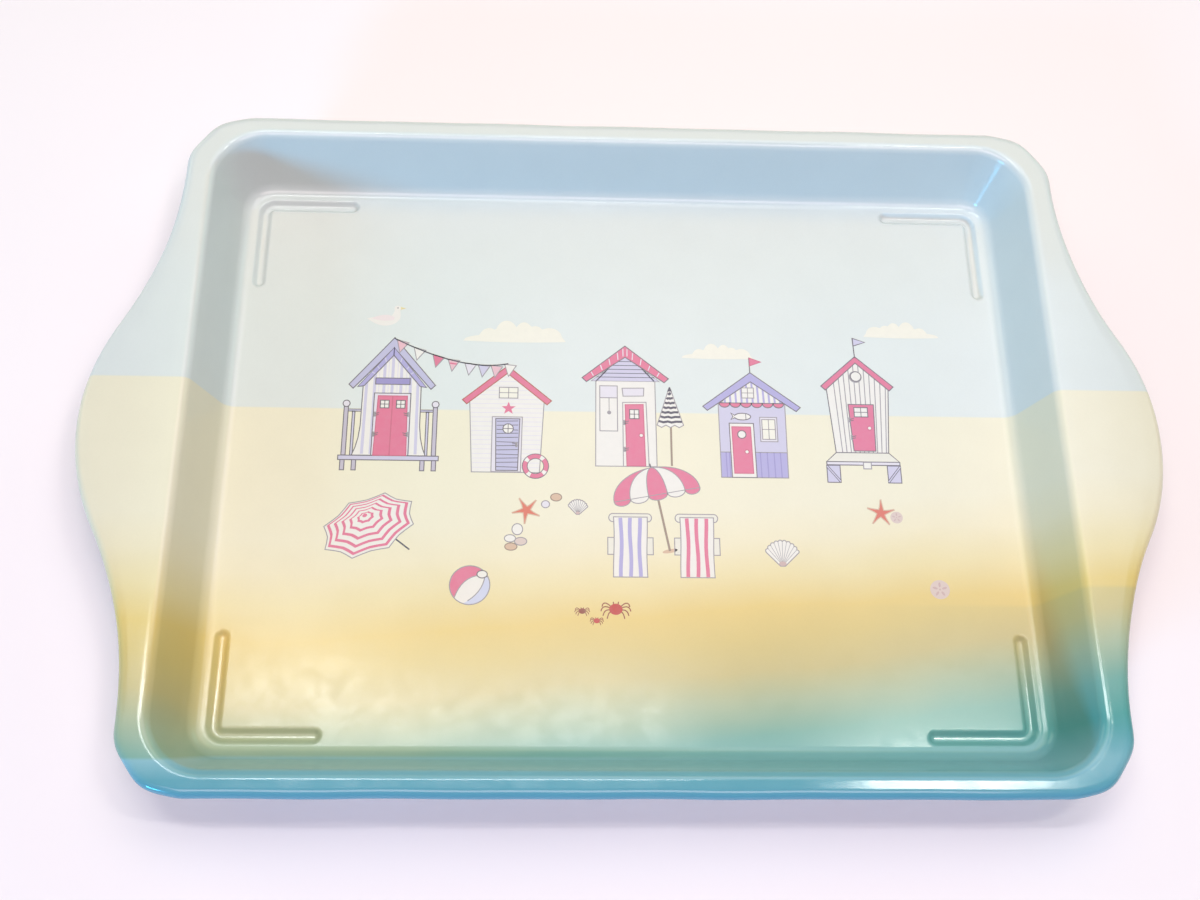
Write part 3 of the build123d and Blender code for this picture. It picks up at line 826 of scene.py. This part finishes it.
def bunting():
    """A sagging string with small pennants of several colours."""
    low, high = box_mm("print_bunting")
    p = Print("print_bunting", "ink_pink", origin=(0, 0))
    start, end = (low.x + 0.1, high.y - 0.2), (high.x - 0.1, low.y + 2.6)
    middle = across(start, end, 0.62)
    string = bend_line(start, (middle[0], middle[1] - 4.2), end, 48)
    flags = ("blush", "white", "pink", "blush", "mist", "haze", "blush", "white")
    for i, name in enumerate(flags):
        x, y = string[1 + round(i * 6.4)]
        dip = -0.35 if i < 3 else -0.15
        p.area(name, 11, (x, y), (x + 2.4, y + 2 * dip), (x + 1.0 + dip, y - 2.6 + dip), pen="soft_pen")
        if i == 3:
            p.line(13, (x + 0.4, y - 0.9), (x + 1.8, y - 1.1), name="pink", width=0.35)
    p.line(12, *string, name="indigo", width=0.24)
    p.finish()


def life_ring():
    """The ring that leans on the cream hut."""
    p = Print("print_life_ring", "ink_pink", rise=2.7)
    outer, inner = 2.65, 1.65
    for i in range(8):
        name = "white" if i % 2 else "pink"
        wider = -12 if i % 2 else 12
        a, b = i * 45 - 15 - wider, (i + 1) * 45 - 15 + wider
        ends = circle(0, 0, outer, None, a, b, 6), circle(0, 0, inner, None, a, b, 6)
        p.area(name, 6, *ends[0], *reversed(ends[1]))
    for r in (outer, inner):
        p.line(7, *circle(0, 0, r), width=0.16, closed=True)
    p.finish()


def clouds():
    """Flat-bottomed clouds, each a row of soft puffs with a thin tail at one end."""
    p = Print("print_clouds", "ink_cream", origin=(0, 0))
    puffs = (
        (-0.25, 0.1, 0.14),
        (-0.08, 0.12, 0.225),
        (0.09, 0.1, 0.21),
        (0.2, 0.1, 0.17),
        (0.34, 0.13, 0.15),
    )
    for x, y, width, way in ((-22.6, 25.1, 21.3, 1), (19.7, 21.9, 15.0, 1), (59.0, 27.5, 16.1, -1)):
        top = []
        for t in np.linspace(0.5, -0.5, 61):
            rise = 0.07 * max(0.0, 1 - (2 * t) ** 4) ** 0.5
            for at, half, height in puffs:
                if abs(t - at) < half:
                    rise = max(rise, height * (1 - ((t - at) / half) ** 2) ** 0.4)
            top.append((x + way * t * width, y + rise * width))
        base = []
        for t in np.linspace(-0.5, 0.5, 21)[1:-1]:
            base.append((x + way * t * width, y - 0.012 * width * (1 - (2 * t) ** 2)))
        p.area("cloud", 2, *top, *base)
    p.finish()


def gull():
    """A gull seen from the side."""
    p = Print("print_gull", "ink_white", origin=(-49.6, 29.8))
    tail, chest = (-3.8, 0.1), (3.1, 0.5)
    belly = bend_line(tail, (-0.9, -2.3), (1.6, -1.2)) + bend_line((1.6, -1.2), (2.8, -0.7), chest)[1:]
    neck = bend_line(chest, (3.1, 1.6), (2.9, 2.3))[1:] + bend_line((1.8, 2.5), (1.9, 1.6), (1.2, 0.8))
    p.area("white", 2, *belly, *neck, *bend_line((1.2, 0.8), (-0.6, 0.9), tail)[1:-1])
    wing = bend_line((-2.9, 0.15), (-0.6, -0.7), (1.7, -0.2))
    p.area("petal", 3, *wing, *bend_line((1.9, 0.4), (0.2, 1.7), (-2.9, 0.15))[:-1])
    p.disc("white", 4, 2.4, 2.5, 0.68)
    p.area("yellow", 3, (2.8, 2.95), (4.2, 2.6), (2.8, 2.1))
    p.disc("soft_pen", 6, 2.45, 2.65, 0.16)
    p.finish()


# --- parasols ---------------------------------------------


def closed_parasol():
    """A furled parasol with wavy dark bands."""
    p = Print("print_parasol_closed", "ink_white", rise=8.8)
    half, height = 2.7, 8.2
    p.box("wood", 0, 0.1, -8.8, 0.42, 9.4)
    hem = [(-half + i * half / 3, -0.35 if i % 2 else 0.15) for i in range(7)]
    p.area("white", 3, *hem, (0.2, height), (-0.2, height), pen="soft_pen")
    wave = [(-1, 0.1), (-0.6, -0.16), (-0.2, 0.02), (0.1, -0.2), (0.5, 0.0), (1, -0.02)]
    for i in range(7):
        y = 0.95 + i * 1.05
        reach = half * (1 - y / height)
        band = [(reach * t, y + dy * (1 - i * 0.08)) for t, dy in wave]
        p.line(5, *band, name="indigo", width=0.5)
    cap = [(-0.5, height - 0.5), (0.5, height - 0.5), (0.12, height + 0.5), (-0.12, height + 0.5)]
    p.area("indigo", 5, *cap)
    p.finish()


def open_parasol():
    """The big parasol that leans over the deckchairs."""
    tilt = 11.0
    low, high = box_mm("print_parasol_open")
    pole, half, height = 12.0, 8.8, 5.9
    foot = (low.x + high.x) / 2 + 2.0, low.y + 0.5
    origin = (foot[0] - pole * sin(radians(tilt)), foot[1] + pole * cos(radians(tilt)))
    p = Print("print_parasol_open", "ink_pink", origin=origin, turn=tilt)
    p.disc("tan", 0, 0, -pole, 1.5, 0.4)
    p.box("wood", 2, 0, -pole, 0.46, pole)
    p.line(2, (0, height - 0.2), (-0.1, height + 0.9), width=0.3)
    edges = [-1, -0.62, -0.2, 0.24, 0.65, 1]
    colours = ("pink", "white", "pink", "white", "pink")

    def rib(share):
        return [(half * share * sin(t), height * cos(t)) for t in np.linspace(0, pi / 2, 13)]

    for a, b, name in zip(edges, edges[1:], colours):
        p.area(name, 4, *rib(a), *rib(b)[:0:-1])
        middle, reach = half * (a + b) / 2, half * (b - a) / 2
        hem = circle(middle, 0.0, reach, 1.15, 180, 360, 12)
        p.area(name, 4, *hem)
        p.line(5, *hem, name="soft_pen", width=0.18)
    for share in edges[1:-1]:
        p.line(6, *rib(share), name="soft_pen", width=0.18)
    p.line(7, *circle(0, 0, half, height, 0, 180, 28), name="soft_pen", width=0.18)
    p.line(7, (-half, 0), (half, 0), name="soft_pen", width=0.16)
    p.finish()


def tilted_parasol():
    """A canopy lying on its edge, ringed in pink and white round its off-centre top."""
    p = Print("print_parasol_tilted", "ink_pink", origin=(-50.4, -15.7), turn=25.0)
    top = (0.05, 2.2)
    half, height, first = 9.7, 6.0, 11.0
    pole_turn = radians(-62.4)
    c, s = cos(pole_turn), sin(pole_turn)
    pole = [(top[0] + reach * c, top[1] + reach * s) for reach in (7.4, 11.4)]
    p.line(0, *pole, name="indigo", width=0.32)

    def outline(scale):
        points = []
        for i in range(8):
            for j, pull in enumerate((1.0, 0.955, 0.93, 0.955)):
                a = radians(first + 45 * (i + j / 4))
                flat = pull * cos(radians(22.5)) / cos(radians(45 * j / 4 - 22.5))
                x, y = half * cos(a) * flat, height * sin(a) * flat
                points.append((top[0] + (x - top[0]) * scale, top[1] + (y - top[1]) * scale))
        return points

    p.area("white", 1, *outline(1.0), pen="soft_pen")
    for i, scale in enumerate((0.93, 0.86, 0.76, 0.69, 0.575, 0.505, 0.385, 0.32, 0.19, 0.13)):
        p.area("white" if i % 2 else "pink", 2 + i * 0.6, *outline(scale))
    p.disc("pink", 8.5, *top, 0.5, 0.35)
    p.finish()


# --- on the beach -----------------------------------------


def deckchair(node, slot, stripes):
    """A deckchair from the back: sling, top bar and arms."""
    p = Print(node, slot)
    width, height = 6.6, 12.4
    for side in (-1, 1):
        arm = side * (width / 2 + 0.55)
        p.box("cream", 0, arm, 4.6, 1.25, 3.5, pen="soft_pen")
    bar_y = height - 0.15
    bar = circle(3.5, bar_y, 0.75, 0.85, -90, 90, 8) + circle(-3.5, bar_y, 0.75, 0.85, 90, 270, 8)
    p.area("cream", 0, *bar, pen="soft_pen")
    sag = [(-width / 2 + 0.1 * sin(t * 5), height * (1 - t)) for t in np.linspace(0, 1, 9)]
    hem = [(width / 2 - 0.1 * sin(t * 5), height * t) for t in np.linspace(0, 1, 9)]
    p.area("white", 2, *sag, *hem, pen="soft_pen")
    for x in (-1.85, 0.0, 1.85):
        wavy = [(x + 0.12 * sin(t * 6 + x), 0.12 + (height - 0.3) * t) for t in np.linspace(0, 1, 9)]
        p.line(3, *wavy, name=stripes, width=0.75)
    p.finish()


def beach_ball():
    """A ball of pink, white and pale blue panels."""
    p = Print("print_beach_ball", "ink_white", rise=3.9)
    r = 3.9
    p.disc("white", 0, 0, 0, r)
    low_left = (r * cos(radians(222)), r * sin(radians(222)))
    low_mid = (r * cos(radians(252)), r * sin(radians(252)))
    cap = (1.9, 2.0)
    pink_rim = circle(0, 0, r, None, 55, 222, 20)[:-1]
    p.area("pink", 1, *pink_rim, *bend_line(low_left, (-1.6, 1.6), cap), pen="soft_pen")
    blue_rim = circle(0, 0, r, None, 252, 392, 18)[:-1]
    p.area("powder", 1, *blue_rim, *bend_line((2.9, 1.9), (2.6, -1.6), low_mid), pen="soft_pen")
    p.line(3, *circle(0, 0, r), name="soft_pen", width=0.2, closed=True)
    p.disc("white", 4, 2.35, 2.2, 1.0, 0.75, pen="pen")
    p.finish()


def starfish():
    """Starfish with slim arms, each bent a little to one side."""
    p = Print("print_starfish", "ink_coral", origin=(0, 0))
    arm = ((0.85, 36), (1.35, 16), (2.0, 10), (2.8, 7), (2.85, 3), (2.1, -1), (1.4, -11))
    for x, y, turn in ((-19.6, -12.2, 25.0), (51.4, -12.0, -8.0)):
        points = []
        for i in range(5):
            for r, aside in arm:
                a = radians(90 + turn - 72 * i + aside)
                points.append((x + r * cos(a), y + r * sin(a)))
        p.area("coral", 1, *points, pen="tan")
    p.finish()


def shells():
    """Two scallop shells: a fluted fan with ribs that meet at the hinge."""
    p = Print("print_shells", "ink_white", origin=(0, 0))
    for x, y, r, turn in ((-9.4, -11.9, 2.1, -4), (31.0, -21.5, 3.6, -2)):
        flutes, half = 10, 74
        edge, ends = [], []
        for i in range(flutes):
            a0 = 90 + turn + half - i * 2 * half / flutes
            for t in np.linspace(0, 1, 6)[:-1]:
                a = radians(a0 - t * 2 * half / flutes)
                reach = r * (0.93 + 0.07 * sin(pi * t))
                edge.append((x + reach * cos(a), y + reach * sin(a)))
            ends.append(edge[-5])
        hinge = (x, y - 0.46 * r)
        foot = [(x + 0.13 * r, y - 0.5 * r), (x - 0.13 * r, y - 0.5 * r)]
        p.area("white", 1, *edge, *foot, pen="soft_pen")
        for end in ends[1:]:
            p.line(2, across(hinge, end, 0.12), end, name="soft_pen", width=0.1)
        p.disc("dusty", 3, x, hinge[1] + 0.1 * r, 0.2 * r, 0.13 * r)
    p.finish()


def pebbles():
    """Small round stones in two groups."""
    p = Print("print_pebbles", "ink_sand", origin=(0, 0))
    stones = (
        (-15.8, -10.9, 0.8, 0.75, "mist"),
        (-13.7, -9.4, 1.1, 0.8, "tan"),
        (-21.3, -16.2, 1.05, 1.15, "white"),
        (-22.7, -18.1, 1.1, 0.75, "white"),
        (-22.5, -19.8, 1.2, 0.75, "tan"),
        (-20.6, -18.7, 1.2, 0.8, "shell"),
    )
    for i, (x, y, rx, ry, name) in enumerate(stones):
        pen = "wood" if name == "tan" else "soft_pen"
        p.disc(name, (i % 3) * 2, x, y, rx, ry, pen=pen)
    p.finish()


def sand_dollars():
    """Flat round shells, each with a flower of five petals."""
    p = Print("print_sand_dollars", "ink_sand", origin=(0, 0))
    for x, y, r in ((54.5, -12.9, 1.25), (61.8, -27.8, 1.95)):
        p.disc("shell", 0, x, y, r)
        for i in range(5):
            a = radians(90 + 72 * i)
            cx, cy = x + 0.5 * r * cos(a), y + 0.5 * r * sin(a)
            petal = []
            for t in np.linspace(0, 2 * pi, 13)[:-1]:
                u, v = 0.27 * r * cos(t), 0.12 * r * sin(t)
                petal.append((cx + u * cos(a) - v * sin(a), cy + u * sin(a) + v * cos(a)))
            p.area("dusty", 2, *petal)
        p.disc("dusty", 2, x, y, 0.1 * r)
    p.finish()


def crabs():
    """One crab and two little ones."""
    p = Print("print_crabs", "ink_coral", origin=(0, 0))
    family = ((-2.0, -32.3, 1.0, "red"), (-8.5, -32.7, 0.5, "brick"), (-5.7, -34.6, 0.45, "red"))
    toes = ((2.7, 0.7), (2.9, -0.2), (2.5, -1.1), (1.7, -1.7))
    for x, y, size, shade in family:
        thick = max(size, 0.7)
        for side in (-1, 1):
            for i, (out, up) in enumerate(toes):
                start = (x + side * 0.9 * size, y + (0.5 - 0.35 * i) * size)
                knee = (x + side * (out - 0.3) * size, y + (up + 1.3) * size)
                toe = (x + side * out * size, y + (up - 0.2) * size)
                p.line(0, *bend_line(start, knee, toe, 5), name="brick", width=0.22 * thick)
            eye = (x + side * 0.5 * size, y + 1.5 * size)
            p.line(0, (x + side * 0.4 * size, y + 0.6 * size), eye, name="brick", width=0.2 * thick)
        p.disc(shade, 2, x, y, 1.3 * size, 1.12 * size)
    p.finish()


for draw in (porch_hut, cream_hut, tiled_hut, lilac_hut, raised_hut, bunting, life_ring,
             clouds, gull, closed_parasol, open_parasol, tilted_parasol, beach_ball, starfish,
             shells, pebbles, sand_dollars, crabs):
    draw()
deckchair("print_deckchair_blue", "ink_lilac", "lilac")
deckchair("print_deckchair_pink", "ink_pink", "pink")

# --- stage, light and camera ------------------------------


def stage_floor():
    """A plain pale table top."""
    size = 3.0
    mesh = bpy.data.meshes.new("table_top")
    corners = [(-size, -size, 0), (size, -size, 0), (size, size, 0), (-size, size, 0)]
    mesh.from_pydata(corners, [], [(0, 1, 2, 3)])
    table = new_object("table_top", mesh)
    n = Nodes("pale_table")
    where = n.place()[0]
    mottle = n.noise(where, 0.01, 2.0)
    colour = n.ramp(mottle, [(0.3, (0.855, 0.795, 0.815)), (0.7, (0.87, 0.81, 0.83))])
    n.link(colour, n.shader.inputs["Base Color"])
    n.link(0.8, n.shader.inputs["Roughness"])
    n.link(0.1, n.shader.inputs["Specular IOR Level"])
    mesh.materials.append(n.material)


def area_light(name, at, aim, size, radiance, colour):
    """A soft rectangular light whose face has the given radiance."""
    light = bpy.data.lights.new(name, "AREA")
    light.shape = "RECTANGLE"
    light.size, light.size_y = (s * MM for s in size)
    light.energy = radiance * pi * light.size * light.size_y
    light.color = colour
    lamp = new_object(name, light)
    start, end = Vector(at) * MM, Vector(aim) * MM
    lamp.location = start
    lamp.rotation_mode = "QUATERNION"
    lamp.rotation_quaternion = (end - start).to_track_quat("-Z", "Y")


stage_floor()
CENTRE = (0, 0, 8)
# Name, place, aim (None for straight down), size, radiance of the face. Places and sizes in mm.
LIGHTS = (
    ("ceiling_left", (-160, 250, 620), None, (240, 280), (1.5, 1.75, 1.2)),
    ("ceiling_middle", (60, 250, 620), None, (200, 280), (3.2, 3.0, 2.8)),
    ("ceiling_right", (270, 250, 620), None, (220, 280), (2.3, 2.5, 2.8)),
    ("ceiling_far", (60, 480, 620), None, (700, 180), (2.0, 1.4, 0.6)),
    ("ceiling_near", (0, -280, 640), None, (600, 260), (5.1, 4.1, 4.3)),
    ("tube", (-65, 68, 620), None, (290, 26), (27.0, 27.0, 27.0)),
    ("tube_left", (-190, 94, 620), None, (130, 40), (13.0, 13.5, 13.5)),
    ("tube_right", (243, 30, 620), None, (118, 34), (42.0, 42.0, 38.0)),
    ("window", (-770, -990, 300), CENTRE, (230, 190), (5.0, 37.0, 67.0)),
    ("back_left", (-700, 600, 450), CENTRE, (500, 450), (1.5, 1.6, 1.2)),
    ("back_right", (700, 600, 450), CENTRE, (500, 450), (0.7, 1.5, 1.3)),
)
for light_name, at, aim, size, radiance in LIGHTS:
    brightest = max(radiance)
    tint = [r / brightest for r in radiance]
    area_light(light_name, at, aim or (at[0], at[1], 0), size, brightest, tint)

world = bpy.data.worlds.new("room")
bpy.context.scene.world = world
world.use_nodes = True
background = world.node_tree.nodes["Background"]
background.inputs["Color"].default_value = (0.8, 0.8, 1.0, 1.0)
background.inputs["Strength"].default_value = 0.18

CAMERA_AT = Vector((-17.2, -102.9, 254.8))
BACK = Vector((-0.0448, -0.3785, 0.9245)).normalized()
AZIMUTH = radians(-6.752)
ROLL = radians(6.996)
LENS, SENSOR = 40.68, 36.0
NEAR_CLIP, FAR_CLIP = 0.01, 20.0
flat_right = Vector((cos(AZIMUTH), sin(AZIMUTH), 0))
flat_up = BACK.cross(flat_right)
right = flat_right * cos(ROLL) + flat_up * sin(ROLL)
up = flat_up * cos(ROLL) - flat_right * sin(ROLL)
lens = bpy.data.cameras.new("camera")
lens.lens = LENS
lens.sensor_width = SENSOR
lens.clip_start = NEAR_CLIP
lens.clip_end = FAR_CLIP
camera = new_object("camera", lens)
turned = Matrix((right, up, BACK)).transposed().to_4x4()
camera.matrix_world = Matrix.Translation(CAMERA_AT * MM) @ turned
bpy.context.scene.camera = camera
bpy.context.scene.view_settings.view_transform = "Standard"
